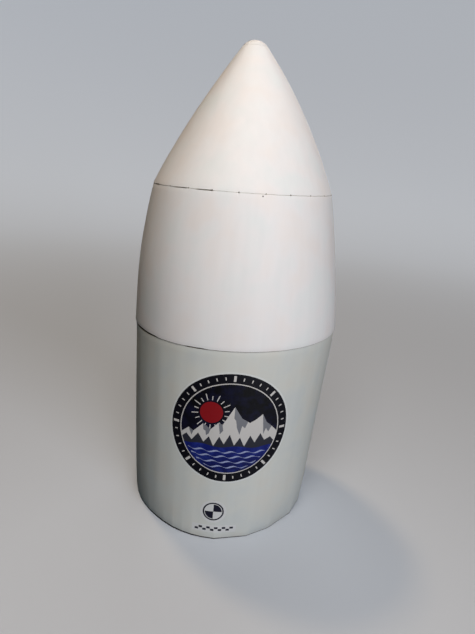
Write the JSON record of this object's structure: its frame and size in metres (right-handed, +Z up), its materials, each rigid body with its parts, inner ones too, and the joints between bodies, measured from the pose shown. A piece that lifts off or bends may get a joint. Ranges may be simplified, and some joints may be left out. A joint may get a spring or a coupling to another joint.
{
  "type": "card model of a rocket payload fairing",
  "caption": "White card model of a rocket payload fairing: a flared open base on a flat-sided foot, and a rounded, pointed cover that lifts off its collar.",
  "frame": {"origin": "centre of the foot, on the surface that the model stands on", "axes": "+Z up along the axis of every wall, -Y towards the badge's side, +X to the right as seen from that side"},
  "size_m": [0.1084, 0.1084, 0.2437],
  "materials": {
    "printed_card": "smooth card, light grey-white print, satin",
    "white_card": "smooth white card, satin",
    "plain_card": "uncoated card, matt",
    "grey_board": "grey board, matt"
  },
  "bodies": {
    "base": {"lower_wall": "printed_card", "base_tabs": "printed_card", "base_plate": "grey_board", "neck_collar": "plain_card", "lower_back_strip": "plain_card"},
    "cover": {"middle_wall": "white_card", "nose_wall": "white_card", "nose_tip": "white_card", "joining_ring": "plain_card", "middle_back_strip": "plain_card", "nose_back_strip": "plain_card"}
  },
  "joints": [
    {"name": "cover_lift", "type": "slide", "parent": "base", "child": "cover", "axis": [0, 0, 1], "range_m": [0, 0.12]}
  ]
}
